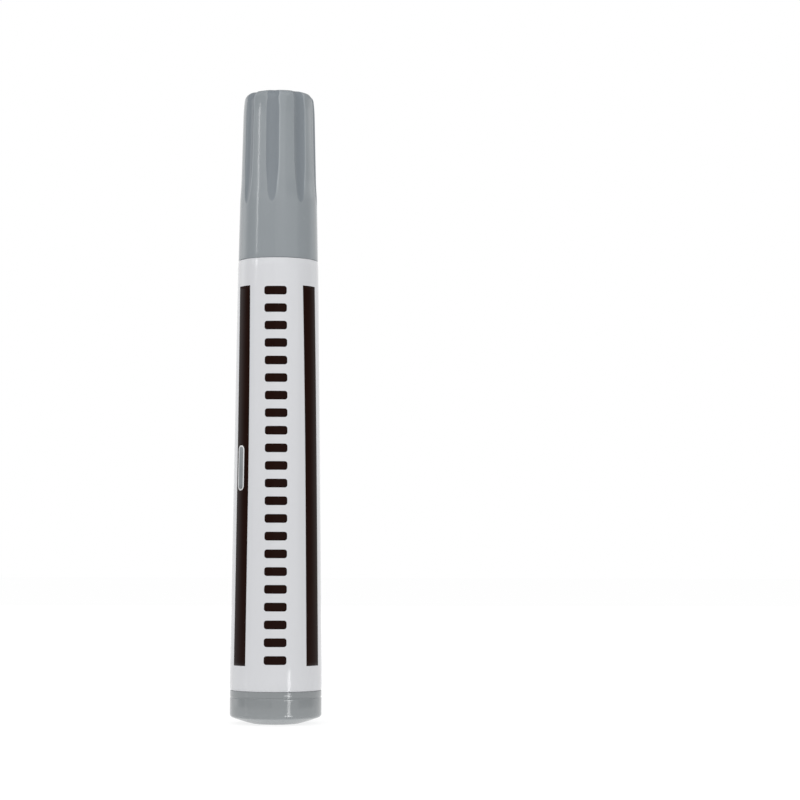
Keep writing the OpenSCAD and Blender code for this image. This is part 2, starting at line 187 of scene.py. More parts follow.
def mouldedPlastic(name, look):
    # Moulded plastic: clouded colour, faint streaks along the piece, fine grain, and small scuffs
    q = {**plasticFinish, **look}
    material, tree, place = newMaterial(name)
    clouds = tree.noise(place, q["cloudScale"], detail=3.0)
    streaks = tree.noise(tree.drawn(place, q["drawn"]), q["streakScale"])
    grain = tree.noise(place, q["grainScale"], detail=3.0, rough=0.6)
    scuffs = tree.noise(place, q["scuffScale"], detail=5.0, rough=0.7)
    worn = tree.ramp(scuffs, q["scuffEnds"], 0.0, q["scuff"], kind="LINEAR")
    base = linear(*q["colour"])
    tint = tree.blend(clouds * q["clouds"] + streaks * q["streaks"],
                      shade(base, 1.0 - q["spread"]), shade(base, 1.0 + q["spread"]))
    tint = tree.blend(worn, tint, shade(base, q["scuffPale"]))
    rough = q["rough"] + (grain - 0.5) * q["grainRough"] + worn * q["scuffRough"]
    if "flute" in q:  # the flutes get a rougher finish and a darker colour that is painted shade, and their right rims a painted highlight
        matt = tree.add("ShaderNodeAttribute", {"attribute_name": "inFlute"}, out="Fac")
        rim = tree.add("ShaderNodeAttribute", {"attribute_name": "onRim"}, out="Fac")
        tint = tree.blend(matt * (q["mattLeast"] + clouds * q["mattSpread"]), tint, linear(*q["flute"]))
        # paler rims: a painted highlight along each flute's right edge
        tint = tree.blend(rim * q["rim"], tint, shade(base, q["rimHighlightPale"]))
        rough = rough + matt * q["fluteRough"]
    tree.finish(tint, rough, grain + streaks * q["streakHeight"], q["grain"], q["depth"], {"IOR": q["ior"]})
    return material


looks = {name: mouldedPlastic(name, look) for name, look in plasticLooks.items()}
print("plastics made")

labelLook = {"white": (217, 218, 221), "dark": 0.985, "pale": 1.01, "rough": 0.14, "ripple": 0.08,
             "mottleScale": 1500.0, "mottleRough": 0.08, "mottleHeight": 0.15, "rippleScale": 70.0,
             "depth": 0.03, "ior": 1.5}


def labelFilmMaterial():
    # Printed film: near-white ink with a faint mottle, and a slow ripple where the film follows the barrel
    q = labelLook
    material, tree, place = newMaterial("labelFilm")
    mottle = tree.noise(place, q["mottleScale"], detail=3.0)
    ripple = tree.noise(place, q["rippleScale"], detail=1.0)
    base = linear(*q["white"])
    tint = tree.blend(mottle * 0.5 + ripple * 0.5, shade(base, q["dark"]), shade(base, q["pale"]))
    tree.finish(tint, q["rough"] + (mottle - 0.5) * q["mottleRough"], ripple + mottle * q["mottleHeight"],
                q["ripple"], q["depth"], {"IOR": q["ior"]})
    return material


inkLooks = {
    "brownInk": {"colour": (30, 13, 8), "rough": 0.16},
    "whiteInk": {"colour": (226, 227, 228), "rough": 0.35},
    "greyInk": {"colour": (138, 142, 145), "rough": 0.35},
}
inkFinish = {"dotScale": 5200.0, "patchScale": 260.0, "dark": 0.85, "pale": 1.2, "patchRough": 0.1,
             "grain": 0.15, "depth": 0.01, "ior": 1.45, "shine": 0.05}


def inkMaterial(name, look):
    # Screen-printed ink: a dense film with a fine dot grain that breaks its gloss
    q = inkFinish
    material, tree, place = newMaterial(name)
    dots = tree.add("ShaderNodeTexVoronoi", {"feature": "F1"}, {"Vector": place, "Scale": q["dotScale"]})
    patches = tree.noise(place, q["patchScale"], detail=3.0)
    base = linear(*look["colour"])
    tint = tree.blend(patches, shade(base, q["dark"]), shade(base, q["pale"]))
    tree.finish(tint, look["rough"] + (patches - 0.5) * q["patchRough"], dots, q["grain"], q["depth"],
                {"IOR": q["ior"], "Specular IOR Level": q["shine"]})
    return material


fibreLooks = {
    "nibFelt": {"pale": (118, 122, 125), "dark": (92, 96, 99), "drawn": 0.35},
    "coreFibre": {"pale": (196, 199, 201), "dark": (142, 146, 149), "drawn": 0.02},
}
fibreFinish = {"strandScale": 4200.0, "blotchScale": 500.0, "fleckEnds": (0.35, 0.65), "flecks": 0.7,
               "blotches": 0.3, "rough": 0.95, "fleckSmooth": 0.1, "strandHeight": 0.7, "depth": 0.06,
               "shine": 0.2}


def fibreMaterial(name, look):
    # Packed fibres: fine strands drawn out along the axis, darker in the gaps between them
    q = fibreFinish
    material, tree, place = newMaterial(name)
    strands = tree.noise(tree.drawn(place, look["drawn"]), q["strandScale"], detail=4.0, rough=0.7)
    blotches = tree.noise(place, q["blotchScale"], detail=3.0)
    fleck = tree.ramp(strands, q["fleckEnds"], 0.0, 1.0, kind="LINEAR")
    tint = tree.blend(fleck * q["flecks"] + blotches * q["blotches"], linear(*look["dark"]),
                      linear(*look["pale"]))
    tree.finish(tint, q["rough"] - fleck * q["fleckSmooth"], strands, q["strandHeight"], q["depth"],
                {"Specular IOR Level": q["shine"]})
    return material


looks["labelFilm"] = labelFilmMaterial()
looks.update({name: inkMaterial(name, look) for name, look in inkLooks.items()})
looks.update({name: fibreMaterial(name, look) for name, look in fibreLooks.items()})
print("print and fibre materials made")


def putMesh(name, points, faces, material):
    # a finished mesh at the origin, its points given in millimetres and kept in metres
    mesh = bpy.data.meshes.new(name)
    mesh.from_pydata((np.asarray(points) * mm).tolist(), [], faces)
    mesh.polygons.foreach_set("use_smooth", np.ones(len(mesh.polygons), dtype=bool))
    mesh.validate()
    mesh.update()
    mesh.materials.append(looks[material])
    piece = bpy.data.objects.new(name, mesh)
    bpy.context.collection.objects.link(piece)
    return piece


def mark(piece, name, values):
    # a number kept at each of the mesh's points, for its material to read
    kept = piece.data.attributes.new(name, "FLOAT", "POINT")
    kept.data.foreach_set("value", np.ascontiguousarray(values, dtype=np.float32).ravel())


def gridFaces(rows, columns, loopRows=False, loopColumns=True):
    # quads between neighbouring rows and columns of a grid stored row by row
    r = np.arange(rows if loopRows else rows - 1)[:, None]
    c = np.arange(columns if loopColumns else columns - 1)[None, :]
    r2, c2 = (r + 1) % rows, (c + 1) % columns
    quads = np.stack([r * columns + c, r * columns + c2, r2 * columns + c2, r2 * columns + c], axis=-1)
    return quads.reshape(-1, 4)


def rounded(corners, radii, steps=4, guard=0.12):
    # A profile's sharp corners turned into arcs: each corner is cut back along both its sides by the arc's
    # tangent length and swept round; one guard point beside each arc keeps the shading of long sides flat.
    # The profile's two ends and any corner of radius 0 stay sharp
    corners = np.asarray(corners, float)
    share = 0.4  # the most of a side's straight that a guard point may take
    line = []
    for i, (corner, radius) in enumerate(zip(corners, radii)):
        if radius <= 0 or i in (0, len(corners) - 1):
            line.append(corner[None])
            continue
        before, after = corners[i - 1] - corner, corners[i + 1] - corner
        a, b = before / np.linalg.norm(before), after / np.linalg.norm(after)
        half = 0.5 * np.arccos(np.clip(a @ b, -1, 1))
        reach = radius / np.tan(half)
        centre = corner + (a + b) / np.linalg.norm(a + b) * radius / np.sin(half)
        p, q = corner + a * reach - centre, corner + b * reach - centre
        sweep = np.arccos(np.clip(p @ q / radius ** 2, -1, 1))
        t = np.linspace(0, 1, steps + 1)[:, None]
        bend = centre + (np.sin((1 - t) * sweep) * p + np.sin(t * sweep) * q) / np.sin(sweep)
        roomA = min(guard, share * (np.linalg.norm(before) - reach))
        roomB = min(guard, share * (np.linalg.norm(after) - reach))
        line += [(corner + a * (reach + roomA))[None], bend, (corner + b * (reach + roomB))[None]]
    return np.concatenate(line)


def withRows(profile, step):
    # the same profile with points added along its long sides, so that none lie further apart than step
    line = [profile[:1]]
    for a, b in zip(profile[:-1], profile[1:]):
        n = max(1, int(np.ceil(np.linalg.norm(b - a) / step)))
        line.append(a + (b - a) * np.linspace(0, 1, n + 1)[1:, None])
    return np.concatenate(line)


def fullTurn(columns):
    # evenly spaced angles once round
    return np.linspace(0, 2 * np.pi, columns, endpoint=False)


def offCentre(angles, count, turn):
    # how far each angle lies from the nearest of count places spaced evenly round, the first at turn degrees
    pitch = 2 * np.pi / count
    return (angles - np.radians(turn) + pitch / 2) % pitch - pitch / 2


def lathe(name, profile, material, angles, ripple=None):
    # A profile of radius and height turned about Z. The point at row i and angle t is
    # (radius sin t, -radius cos t, height); ripple may change radii and heights row by row and angle by
    # angle. A profile that starts and ends on the axis is closed by single points there, any other is a loop
    columns = len(angles)
    poles = profile[0, 0] == 0 and profile[-1, 0] == 0
    body = profile[1:-1] if poles else profile
    radii, heights = np.repeat(body[:, :1], columns, axis=1), np.repeat(body[:, 1:], columns, axis=1)
    if ripple is not None:
        radii, heights = ripple(radii, heights, angles[None, :])
    points = np.stack([radii * np.sin(angles), -radii * np.cos(angles), heights], axis=-1).reshape(-1, 3)
    faces = gridFaces(len(body), columns, loopRows=not poles).tolist()
    if poles:
        first, last = len(points), len(points) + 1
        points = np.concatenate([points, [[0, 0, profile[0, 1]], [0, 0, profile[-1, 1]]]])
        c = np.arange(columns)
        n = (c + 1) % columns
        top = (len(body) - 1) * columns
        faces += np.stack([np.full(columns, first), n, c], axis=-1).tolist()
        faces += np.stack([np.full(columns, last), c + top, n + top], axis=-1).tolist()
    return putMesh(name, points, faces, material)


def finishPiece(piece, body, slotName, *stoodFor):
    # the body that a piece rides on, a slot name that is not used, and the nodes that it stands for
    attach(piece, body)
    if stoodFor:
        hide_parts(*stoodFor)


def stretch(a, b, step):
    # evenly spaced values from a to b, no further apart than step, without b itself
    return np.linspace(a, b, max(2, int(np.ceil(abs(b - a) / step)) + 1))[:-1]


# Barrel and its levels
barrel = {"baseR": 8.7, "topR": 7.63, "baseZ": 6.3, "topZ": 88.3, "edge": 0.2, "lead": 0.3, "wall": 1.2,
          "endBoreTop": 12.5, "ribs": 6, "ribTurn": 0.0, "ribR": 5.956, "ribWidth": 1.0, "ribSoft": 0.03,
          "ribFrom": 14.0, "ribGap": 0.05, "cavityTop": 86.3}
neck = {"r": 6.3, "topZ": 97.0, "boreR": 5.1, "edge": 0.3, "beadOut": 0.16, "beadZ": 93.694, "beadHalf": 0.7,
        "bandH": 1.6}


def barrelR(z):
    # the outside's radius: a straight taper from the base to the top
    drop = (barrel["topR"] - barrel["baseR"]) * (z - barrel["baseZ"])
    return barrel["baseR"] + drop / (barrel["topZ"] - barrel["baseZ"])


def bump(r, out, half, z, steps=8):
    # a low round swelling on a wall: a cosine hump of the given height and half width
    t = np.linspace(-1, 1, steps + 1)
    return np.stack([r + out * 0.5 * (1 + np.cos(np.pi * t)), z + half * t], axis=-1)


def makeBarrel():
    # one profile: the outside up to the shoulder, the neck's band and bead, then its bore and the cavity
    base, top, edge, cavityTop = barrel["baseZ"], barrel["topZ"], barrel["edge"], barrel["cavityTop"]
    boreR = barrelR(barrel["endBoreTop"]) - barrel["wall"]
    cavityTopR = barrelR(cavityTop) - barrel["wall"]
    band = neck["r"] + neck["beadOut"]
    bandTop = top + neck["bandH"]
    outer = rounded(
        [[boreR + barrel["lead"], base], [barrel["baseR"], base], [barrel["topR"], top], [band, top],
         [band, bandTop], [neck["r"], bandTop + neck["beadOut"]],
         [neck["r"], neck["beadZ"] - neck["beadHalf"]]],
        [0, edge, edge, 0.05, 0.08, 0.08, 0])
    upper = rounded(
        [[neck["r"], neck["beadZ"] + neck["beadHalf"]], [neck["r"], neck["topZ"]],
         [neck["boreR"], neck["topZ"]], [neck["boreR"], cavityTop], [cavityTopR, cavityTop],
         [boreR, barrel["endBoreTop"]], [boreR, base + barrel["lead"]]],
        [0, neck["edge"], 0.1, 0.15, 0.3, 0, 0])
    bead = bump(neck["r"], neck["beadOut"], neck["beadHalf"], neck["beadZ"])
    profile = withRows(np.concatenate([outer, bead[1:-1], upper]), 3.0)

    def ribs(radii, heights, angles):
        # inside the cavity the wall steps in to the ribs' radius wherever an angle lies on a rib
        off = np.abs(offCentre(angles, barrel["ribs"], barrel["ribTurn"])) * barrel["ribR"]
        onRib = 1 / (1 + np.exp((off - barrel["ribWidth"] / 2) / barrel["ribSoft"]))
        inside = ((radii < barrelR(heights) - barrel["wall"] / 2)
                  & (heights > barrel["ribFrom"]) & (heights < cavityTop - barrel["ribGap"]))
        return np.where(inside, radii + (np.minimum(barrel["ribR"], radii) - radii) * onRib, radii), heights

    piece = lathe("barrelTube", profile, "barrelPlastic", fullTurn(240), ribs)
    finishPiece(piece, "marker", "barrel_plastic", "barrel")


label = {"gap": 0.01, "thick": 0.07, "low": 6.65, "high": 87.95, "seam": 0.3, "feather": 1.2,
         "thinnest": 0.01, "inkGap": 0.002, "inkLift": 0.012, "rows": 58, "columns": 260}
label["face"] = label["gap"] + label["thick"]  # the print lies on this


def sheetOnBarrel(angles, heights, inner, outer):
    # A thin closed sheet wrapped on the barrel. Angles and heights are grids, inner and outer the lifts off
    # the barrel of its two faces, and quads round the rim join them
    rows, columns = angles.shape
    sides = []
    for lift in (outer, inner):
        r = barrelR(heights) + lift
        sides.append(np.stack([r * np.sin(angles), -r * np.cos(angles), heights], axis=-1).reshape(-1, 3))
    count = rows * columns
    grid = gridFaces(rows, columns, loopColumns=False)
    low, west = np.arange(columns), np.arange(rows) * columns
    rim = np.concatenate([low[:-1], west[:-1] + columns - 1, (low + count - columns)[:0:-1], west[:0:-1]])
    after = np.roll(rim, -1)
    joined = np.stack([after, rim, rim + count, after + count], axis=-1)
    return np.concatenate(sides), np.concatenate([grid, grid[:, ::-1] + count, joined])


def together(sheets):
    # several meshes made one: each one's corners are counted on from the last
    starts = np.cumsum([0] + [len(points) for points, faces in sheets[:-1]])
    return (np.concatenate([points for points, faces in sheets]),
            np.concatenate([faces + start for start, (points, faces) in zip(starts, sheets)]).tolist())


def makeLabel():
    # the film thins out to a feather over its last stretch at each end, so that its edge hardly shows
    low, high, feather, thinnest = label["low"], label["high"], label["feather"], label["thinnest"]
    ends = feather * np.linspace(0, 1, 9) ** 2
    middle = np.linspace(low + feather, high - feather, label["rows"])[1:-1]
    heights = np.concatenate([low + ends, middle, high - ends[::-1]])
    gap = (label["seam"] / 2 / barrelR(heights))[:, None]
    angles = gap - np.pi + np.linspace(0, 1, label["columns"])[None, :] * 2 * (np.pi - gap)
    near = np.minimum(heights - low, high - heights) / feather
    rise = np.sin(np.clip(near, 0.0, 1.0) * np.pi / 2)[:, None]
    outer = label["gap"] + thinnest + (label["thick"] - thinnest) * rise
    points, faces = sheetOnBarrel(angles, np.repeat(heights[:, None], label["columns"], axis=1),
                                  label["gap"], outer)
    film = putMesh("labelFilm", points, faces.tolist(), "labelFilm")
    finishPiece(film, "marker", "label_print", "label_film")


stripe = {"low": 11.1, "high": 83.1, "inner": (41.5, 40.3), "outer": (65.6, 66.2), "rightIn": -0.4,
          "rightOut": 0.3, "lean": -2.7, "leanFrom": 40.0, "rows": 90, "columns": 26}


def leanAt(z):
    # the print turns a little to the left towards the cap: nothing low down, then with the height squared
    rise = np.clip((z - stripe["leanFrom"]) / (stripe["high"] - stripe["leanFrom"]), 0, None)
    return stripe["lean"] * rise ** 2


def makeStripes():
    # each stripe runs between two angles that change evenly from its foot to its top
    q = stripe
    heights = np.repeat(np.linspace(q["low"], q["high"], q["rows"])[:, None], q["columns"], axis=1)
    share = (heights - q["low"]) / (q["high"] - q["low"])
    near = q["inner"][0] + (q["inner"][1] - q["inner"][0]) * share
    far = q["outer"][0] + (q["outer"][1] - q["outer"][0]) * share
    across = np.linspace(0, 1, q["columns"])[None, :]
    sides = {"stripeLeft": (-far, -near), "stripeRight": (near + q["rightIn"], far + q["rightOut"])}
    for name, (left, right) in sides.items():
        angles = np.radians(left + (right - left) * across + leanAt(heights))
        points, faces = sheetOnBarrel(angles, heights, label["face"] + label["inkGap"],
                                      label["face"] + label["inkLift"])
        finishPiece(putMesh(name, points, faces.tolist(), "brownInk"), "marker", "label_print")


def roundedBar(z, angle, halfWidth, halfHeight, corner, lift):
    # A bar with round corners: across its width, u from -1 to 1, its half height stays whole up to the
    # corners and then falls along a quarter circle; v from -1 to 1 goes up it
    rows = 9
    t = np.linspace(-np.pi / 2, 0, 9)
    left = np.stack([corner - halfWidth + corner * np.sin(t), halfHeight - corner + corner * np.cos(t)],
                    axis=-1)
    middle = np.linspace(corner - halfWidth, halfWidth - corner, 14)[1:-1]
    x = np.concatenate([left[:, 0], middle, -left[::-1, 0]])
    half = np.concatenate([left[:, 1], np.full(len(middle), halfHeight), left[::-1, 1]])
    v = np.linspace(-1, 1, rows)[:, None]
    heights = z + v * half[None, :]
    angles = np.radians(angle) + np.repeat(x[None, :], rows, axis=0) / (barrelR(z) + label["face"])
    return sheetOnBarrel(angles, heights, label["face"] + label["inkGap"], label["face"] + lift)


marks = {"count": 22, "halfWidth": 2.15, "halfHeight": 0.82, "corner": 0.5, "low": 11.4, "high": 82.8,
         "turn": -1.2}
swatch = {"z": 48.4, "angle": -56.0, "halfWidth": 0.95, "halfHeight": 4.3, "corner": 0.9, "rim": 0.3,
          "rimLift": 0.02, "tintLift": 0.028}


def makeMarks():
    # even bars up the front, which follow the print's lean
    q = marks
    centres = np.linspace(q["low"] + q["halfHeight"], q["high"] - q["halfHeight"], q["count"])
    bars = [roundedBar(z, leanAt(z) + q["turn"], q["halfWidth"], q["halfHeight"], q["corner"],
                       label["inkLift"]) for z in centres]
    finishPiece(putMesh("printedBars", *together(bars), "brownInk"), "marker", "label_print")
    # a small pill on the left stripe shows the ink's grey inside a white rim
    q = swatch
    for name, inset, lift, ink in (("swatchRim", 0.0, q["rimLift"], "whiteInk"),
                                   ("swatchTint", q["rim"], q["tintLift"], "greyInk")):
        points, faces = roundedBar(q["z"], q["angle"], q["halfWidth"] - inset, q["halfHeight"] - inset,
                                   q["corner"] - inset, lift)
        finishPiece(putMesh(name, points, faces.tolist(), ink), "marker", "label_print")


makeBarrel()
makeLabel()
makeStripes()
makeMarks()
print("barrel, label and print made")

# Cap: the same outline and flutes as the solid, with the flutes' edges softened
cap = {"mouthR": 7.65, "mouthZ": 88.3, "hipR": 7.4, "hipZ": 100.3, "waistR": 7.2, "waistZ": 103.3,
       "topZ": 121.0, "blend": 0.8, "crownIn": 0.31, "crownH": 3.0, "easeH": 4.6, "easeR": 30.0,
       "round": 1.5, "rise": 0.22, "mouthEdge": 0.25, "mouthLead": 0.3, "boreR": 6.5, "grooveIn": 0.1,
       "stepZ": 99.4, "linerR": 5.85, "linerTop": 119.0, "linerEdge": 0.6}
flute = {"count": 8, "turn": -10.0, "r": 2.6, "depth": 0.45, "tipZ": 99.0, "run": 9.0, "overR": 2.0,
         "overIn": 0.12, "soft": 0.05, "clearOfMouth": 2.0, "edgeFrom": 7.5, "edgeTo": 13.0,
         "fineBelow": 1.0, "fineAbove": 9.5}
# how deep a point must sink to take the flutes' painted shade, and where the painted highlight lies on each
# flute's right rim
fluteTone = {"mattDepth": 0.025, "rimFrom": 0.5, "rimFade": 3.0, "rightSideFrom": 2.0, "rightSideFade": 4.0,
             "rimOutside": 0.13, "rimInside": 0.05}
cap["slope"] = cap["crownIn"] / (cap["topZ"] - cap["easeH"] - cap["waistZ"])  # the crown's taper


def capSideR(z):
    # Straight from mouth to hip, a short steeper fall to the waist, the crown's slight taper, then an
    # easing arc. The corners between them are averaged over the blend's length up and down
    stations = [cap["mouthZ"], cap["hipZ"], cap["waistZ"], cap["topZ"]]
    radii = [cap["mouthR"], cap["hipR"], cap["waistR"],
             cap["waistR"] - cap["slope"] * (cap["topZ"] - cap["waistZ"])]
    shifts = np.linspace(-cap["blend"], cap["blend"], 9)
    line = np.mean([np.interp(z + shift, stations, radii) for shift in shifts], axis=0)
    return line - np.clip(z - (cap["topZ"] - cap["easeH"]), 0, None) ** 2 / (2 * cap["easeR"])


def inFlute(x, y, z):
    # How far a point lies inside the round cutter of the flute along +x, below nothing outside it. The
    # cutter's middle line comes in along an arc at the tip, goes straight up parallel to the crown's taper,
    # and bends in over the crown's edge; the distance is its radius less the distance from that line
    q = flute
    turnZ = q["tipZ"] + q["run"]
    floorR = cap["waistR"] - cap["slope"] * (turnZ - cap["waistZ"]) - q["depth"]
    taper = (cap["mouthR"] - cap["hipR"]) * (q["tipZ"] - cap["mouthZ"]) / (cap["hipZ"] - cap["mouthZ"])
    rise = cap["mouthR"] - taper - floorR - cap["slope"] * q["run"]
    bend = (q["run"] ** 2 + rise ** 2) / (2 * rise)
    tilt = np.arctan(cap["slope"])
    alongX, alongZ = x - floorR, z - turnZ  # turned so that the straight runs along alongZ
    alongX, alongZ = (alongX * np.cos(tilt) + alongZ * np.sin(tilt),
                      alongZ * np.cos(tilt) - alongX * np.sin(tilt))
    overZ = (cap["topZ"] - q["overIn"] - q["overR"] * (1 - np.sin(tilt)) - turnZ) / np.cos(tilt)
    below = bend - q["r"] - np.hypot(alongX - bend, alongZ)
    over = np.hypot(alongX + q["overR"], alongZ - overZ) - q["overR"] - q["r"]
    wellOut = 9.0  # stands for any place past the bend, which ends over its centre
    over = np.where(alongX > -q["overR"], over, wellOut)
    off = np.where(alongZ < 0, below, np.where(alongZ > overZ, over, alongX - q["r"]))
    return q["r"] - np.hypot(off, y)


def softMost(a, b, k):
    # the greater of two values, blended over a band of width k where they cross
    h = np.clip(0.5 + 0.5 * (a - b) / k, 0, 1)
    return b * (1 - h) + a * h + k * h * (1 - h)


def makeCap():
    # One profile turned: a tapered side, an arc of radius round over the crown's edge, and a flat dome whose
    # radius makes it run on from that arc and reach the top; then the flutes sink into it
    crownZ = cap["topZ"] - cap["rise"] - cap["round"]
    easeZ = cap["topZ"] - cap["easeH"]
    startAngle = np.arctan(cap["slope"] + (crownZ - easeZ) / cap["easeR"])
    sideTop = crownZ + cap["round"] * np.sin(startAngle)
    crownR = float(capSideR(np.array(sideTop))) - cap["round"] * np.cos(startAngle)
    drop = cap["topZ"] - crownZ
    domeR = (crownR ** 2 + drop ** 2 - cap["round"] ** 2) / (2 * (drop - cap["round"]))
    domeAngle = np.arctan2(domeR - drop, crownR)
    # the side's rows lie closest where the flutes run out to their tips, and close again at the crown
    levels = [cap["mouthZ"] + cap["mouthEdge"], flute["tipZ"] - flute["fineBelow"],
              flute["tipZ"] + flute["fineAbove"], cap["topZ"] - cap["crownH"], sideTop]
    steps = (0.8, 0.22, 0.9, 0.3)
    zSide = np.concatenate([stretch(*part) for part in zip(levels[:-1], levels[1:], steps)])
    a = np.linspace(-np.pi / 2, 0, 6)[:-1]
    lip = np.stack([cap["mouthR"] - cap["mouthEdge"] * (1 - np.cos(a)),
                    cap["mouthZ"] + cap["mouthEdge"] * (1 + np.sin(a))], axis=-1)
    side = np.stack([capSideR(zSide), zSide], axis=-1)
    b = np.linspace(startAngle, domeAngle, 13)
    crown = np.stack([crownR + cap["round"] * np.cos(b), crownZ + cap["round"] * np.sin(b)], axis=-1)
    crowding = 1.6  # the dome's rows lie closer together towards its edge
    d = domeAngle + (np.pi / 2 - domeAngle) * np.linspace(0, 1, 20)[1:] ** crowding
    dome = np.stack([domeR * np.cos(d), cap["topZ"] - domeR + domeR * np.sin(d)], axis=-1)
    dome[-1, 0] = 0.0
    groove = bump(cap["boreR"], cap["grooveIn"], neck["beadHalf"], neck["beadZ"])[::-1]
    roof = rounded([[0, cap["linerTop"]], [cap["linerR"] - cap["linerEdge"], cap["linerTop"]],
                    [cap["linerR"], cap["linerTop"] - cap["linerEdge"]], [cap["linerR"], cap["stepZ"]],
                    [cap["boreR"], cap["stepZ"]], groove[0]], [0, 0.15, 0.15, 0.08, 0.1, 0])
    mouth = rounded([groove[-1], [cap["boreR"], cap["mouthZ"] + cap["mouthLead"]],
                     [cap["boreR"] + cap["mouthLead"], cap["mouthZ"]],
                     [cap["mouthR"] - cap["mouthEdge"], cap["mouthZ"]]], [0, 0.1, 0.1, 0])
    # from the inside of the roof, down the bore, round the rim and up over the crown to the top
    inside = np.concatenate([roof, groove[1:-1], mouth[:-1]])
    profile = np.concatenate([inside, lip, side, crown, dome])
    # more columns where the flutes' edges turn sharply
    pitch = 360.0 / flute["count"]
    half = np.concatenate([np.linspace(0, flute["edgeFrom"], 9)[:-1],
                           np.linspace(flute["edgeFrom"], flute["edgeTo"], 19)[:-1],
                           np.linspace(flute["edgeTo"], pitch / 2, 7)])
    sector = np.concatenate([-half[::-1], half[1:-1]])
    turned = sector[None, :] + flute["turn"] + pitch * np.arange(flute["count"])[:, None]
    angles = np.radians(turned.ravel())

    # the outside's own normals, row by row
    along = np.gradient(profile[1:-1], axis=0)
    along /= np.hypot(along[:, :1], along[:, 1:])
    outR, outZ = along[:, 1:], -along[:, :1]
    firstOutside = len(inside) + len(lip) - 1
    tones = {}

    def flutes(radii, heights, angles):
        # Each point of the outside sinks along its normal until it is out of the nearest flute's cutter. How
        # deep it sinks also gives the flutes' painted shade and rougher finish, and the painted highlight on
        # each flute's right edge
        q = fluteTone
        off = offCentre(angles, flute["count"], flute["turn"])
        sunk = np.zeros_like(radii)
        for _ in range(12):  # rounds enough for it to settle
            r, z = radii - np.maximum(sunk, 0) * outR, heights - np.maximum(sunk, 0) * outZ
            left = inFlute(r * np.cos(off), r * np.sin(off), z)
            sunk = np.maximum(sunk, 0) + left
        outside = ((np.arange(len(radii)) >= firstOutside)[:, None]
                   & (heights > cap["mouthZ"] + flute["clearOfMouth"]))
        tones["inFlute"] = np.where(outside, np.clip(sunk / q["mattDepth"], 0, 1), 0.0)
        # the rim tone is a painted highlight: close to the cutter's edge, fading in above the tip, and only
        # on the right side of each flute
        fromTip = np.clip((heights - flute["tipZ"] - q["rimFrom"]) / q["rimFade"], 0, 1)
        rightSide = np.clip((off - np.radians(q["rightSideFrom"])) / np.radians(q["rightSideFade"]), 0, 1)
        bright = np.exp(-(sunk / np.where(sunk < 0, q["rimOutside"], q["rimInside"])) ** 2)
        tones["onRim"] = np.where(outside, bright * fromTip * rightSide, 0.0)
        sunk = np.where(outside, softMost(sunk, np.zeros_like(sunk), flute["soft"]), 0.0)
        return radii - sunk * outR, heights - sunk * outZ

    piece = lathe("capShell", profile, "capPlastic", angles, flutes)
    for name, values in tones.items():
        mark(piece, name, np.append(values, [0.0, 0.0]))  # and the two middle points
    finishPiece(piece, "cap", "cap_plastic", "cap_shell")


liner = {"bottom": 98.6, "flangeR": 6.46, "stepZ": 99.4, "r": 5.83, "top": 119.0, "edge": 0.6, "inTop": 118.0,
         "inR": 5.05, "lipR": 4.63, "lipTop": 101.0, "blend": 0.8, "lead": 0.35}


def makeLiner():
    # a thin cup turned from one profile: its inside from the top down, the lip, the flange and the outside
    q = liner
    profile = rounded(
        [[0, q["inTop"]], [q["inR"] - q["edge"], q["inTop"]], [q["inR"], q["inTop"] - q["edge"]],
         [q["inR"], q["lipTop"] + q["blend"]], [q["lipR"], q["lipTop"]], [q["lipR"], q["bottom"] + q["lead"]],
         [q["lipR"] + q["lead"], q["bottom"]], [q["flangeR"], q["bottom"]], [q["flangeR"], q["stepZ"]],
         [q["r"], q["stepZ"]], [q["r"], q["top"] - q["edge"]], [q["r"] - q["edge"], q["top"]],
         [0, q["top"]]],
        [0, 0.3, 0.3, 0.3, 0.3, 0.12, 0.12, 0.15, 0.1, 0.05, 0.2, 0.2, 0])
    piece = lathe("capLiner", profile, "linerPlastic", fullTurn(128))
    finishPiece(piece, "cap", "liner_plastic", "cap_liner")


makeCap()
makeLiner()
print("cap and liner made")

plug = {"r": 8.74, "landR": 4.4, "landEdge": 0.12, "bevelSlope": 13.0, "bevelR": 30.0, "round": 0.7, "h": 6.3,
        "ringH": 1.0, "ringIn": 0.02, "grooveHalf": 0.24, "grooveIn": 0.1, "spigotR": 7.399,
        "spigotLead": 0.4, "top": 12.0, "cupR": 6.299, "floor": 2.0, "snapZ": 9.15, "snapOut": 0.12,
        "snapHalf": 0.5, "webTop": 9.0, "webWidth": 1.0, "webEdge": 0.12, "webIntoWall": 0.15,
        "webIntoFloor": 0.1}


def plate(x, y, halfX, halfY, low, high, edge, steps=4):
    # A closed plate with rounded edges: going round it, a rectangle whose corners are arcs of radius edge;
    # going up it, that outline drawn in by another arc at the bottom and the top. Strips of quads close it
    t = np.concatenate([np.linspace(0, np.pi / 2, steps) + k * np.pi / 2 for k in range(4)])
    cornerX = np.repeat([1, -1, -1, 1], steps) * (halfX - edge)
    cornerY = np.repeat([1, 1, -1, -1], steps) * (halfY - edge)
    a = np.linspace(0, np.pi / 2, steps)[:, None]
    grow = np.concatenate([np.sin(a), np.cos(a)]) * edge
    heights = np.concatenate([low + edge * (1 - np.cos(a)), high - edge * (1 - np.sin(a))])
    points = np.stack([x + cornerX + grow * np.cos(t), y + cornerY + grow * np.sin(t),
                       np.repeat(heights, len(t), axis=1)], axis=-1).reshape(-1, 3)
    n, top = len(t), len(points) - len(t)
    i = np.arange(n // 2 - 1)
    strip = np.stack([i, n - 1 - i, n - 2 - i, i + 1], axis=-1)
    return points, np.concatenate([gridFaces(2 * steps, n), strip, strip[:, ::-1] + top])


